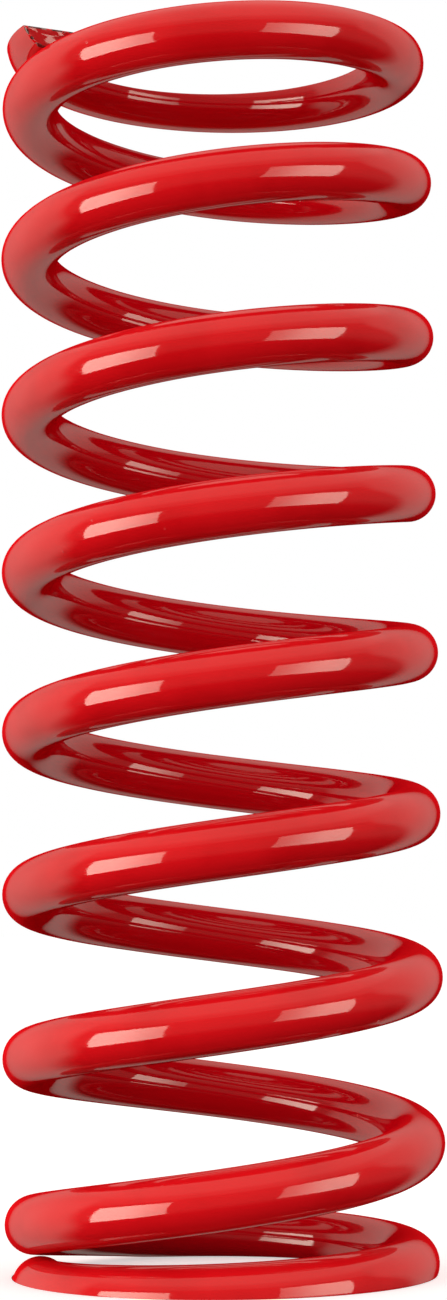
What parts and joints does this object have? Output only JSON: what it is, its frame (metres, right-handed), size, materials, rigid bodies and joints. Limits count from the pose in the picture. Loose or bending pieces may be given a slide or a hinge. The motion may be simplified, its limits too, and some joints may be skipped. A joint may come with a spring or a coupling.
{
  "type": "coil spring",
  "caption": "Cylindrical coil-over suspension spring of round red powder-coated wire, right-hand wound, with closed and ground ends.",
  "frame": {"origin": "on the coil axis, in the plane of the bottom ground seat", "axes": "+Z along the coil axis to the top seat, +Y away from the camera side, +X to the right of it"},
  "size_m": [0.0925, 0.0925, 0.26],
  "materials": {
    "powder_coat": "gloss red powder coat"
  },
  "bodies": {
    "bottom_end_coil": {"bottom_end_coil": "powder_coat"},
    "active_coil_1a": {"active_coil_1a": "powder_coat"},
    "active_coil_1b": {"active_coil_1b": "powder_coat"},
    "active_coil_2a": {"active_coil_2a": "powder_coat"},
    "active_coil_2b": {"active_coil_2b": "powder_coat"},
    "active_coil_3a": {"active_coil_3a": "powder_coat"},
    "active_coil_3b": {"active_coil_3b": "powder_coat"},
    "active_coil_4a": {"active_coil_4a": "powder_coat"},
    "active_coil_4b": {"active_coil_4b": "powder_coat"},
    "active_coil_5a": {"active_coil_5a": "powder_coat"},
    "active_coil_5b": {"active_coil_5b": "powder_coat"},
    "active_coil_6a": {"active_coil_6a": "powder_coat"},
    "active_coil_6b": {"active_coil_6b": "powder_coat"},
    "top_end_coil": {"top_end_coil": "powder_coat"}
  },
  "joints": [
    {"name": "compression", "type": "slide", "parent": "bottom_end_coil", "child": "active_coil_1a", "axis": [0, 0, -1], "range_m": [0, 0.0092], "stiffness_N_per_m": 780000},
    {"name": "compression_1b", "type": "slide", "parent": "active_coil_1a", "child": "active_coil_1b", "axis": [0, 0, -1], "range_m": [0, 0.0092], "stiffness_N_per_m": 780000},
    {"name": "compression_2a", "type": "slide", "parent": "active_coil_1b", "child": "active_coil_2a", "axis": [0, 0, -1], "range_m": [0, 0.0092], "stiffness_N_per_m": 780000},
    {"name": "compression_2b", "type": "slide", "parent": "active_coil_2a", "child": "active_coil_2b", "axis": [0, 0, -1], "range_m": [0, 0.0092], "stiffness_N_per_m": 780000},
    {"name": "compression_3a", "type": "slide", "parent": "active_coil_2b", "child": "active_coil_3a", "axis": [0, 0, -1], "range_m": [0, 0.0092], "stiffness_N_per_m": 780000},
    {"name": "compression_3b", "type": "slide", "parent": "active_coil_3a", "child": "active_coil_3b", "axis": [0, 0, -1], "range_m": [0, 0.0092], "stiffness_N_per_m": 780000},
    {"name": "compression_4a", "type": "slide", "parent": "active_coil_3b", "child": "active_coil_4a", "axis": [0, 0, -1], "range_m": [0, 0.0092], "stiffness_N_per_m": 780000},
    {"name": "compression_4b", "type": "slide", "parent": "active_coil_4a", "child": "active_coil_4b", "axis": [0, 0, -1], "range_m": [0, 0.0092], "stiffness_N_per_m": 780000},
    {"name": "compression_5a", "type": "slide", "parent": "active_coil_4b", "child": "active_coil_5a", "axis": [0, 0, -1], "range_m": [0, 0.0092], "stiffness_N_per_m": 780000},
    {"name": "compression_5b", "type": "slide", "parent": "active_coil_5a", "child": "active_coil_5b", "axis": [0, 0, -1], "range_m": [0, 0.0092], "stiffness_N_per_m": 780000},
    {"name": "compression_6a", "type": "slide", "parent": "active_coil_5b", "child": "active_coil_6a", "axis": [0, 0, -1], "range_m": [0, 0.0092], "stiffness_N_per_m": 780000},
    {"name": "compression_6b", "type": "slide", "parent": "active_coil_6a", "child": "active_coil_6b", "axis": [0, 0, -1], "range_m": [0, 0.0092], "stiffness_N_per_m": 780000},
    {"name": "compression_top", "type": "slide", "parent": "active_coil_6b", "child": "top_end_coil", "axis": [0, 0, -1], "range_m": [0, 0.0092], "stiffness_N_per_m": 780000}
  ],
  "couplings": [
    {"joint": "compression_1b", "follows": "compression", "ratio": 1},
    {"joint": "compression_2a", "follows": "compression", "ratio": 1},
    {"joint": "compression_2b", "follows": "compression", "ratio": 1},
    {"joint": "compression_3a", "follows": "compression", "ratio": 1},
    {"joint": "compression_3b", "follows": "compression", "ratio": 1},
    {"joint": "compression_4a", "follows": "compression", "ratio": 1},
    {"joint": "compression_4b", "follows": "compression", "ratio": 1},
    {"joint": "compression_5a", "follows": "compression", "ratio": 1},
    {"joint": "compression_5b", "follows": "compression", "ratio": 1},
    {"joint": "compression_6a", "follows": "compression", "ratio": 1},
    {"joint": "compression_6b", "follows": "compression", "ratio": 1},
    {"joint": "compression_top", "follows": "compression", "ratio": 1}
  ]
}
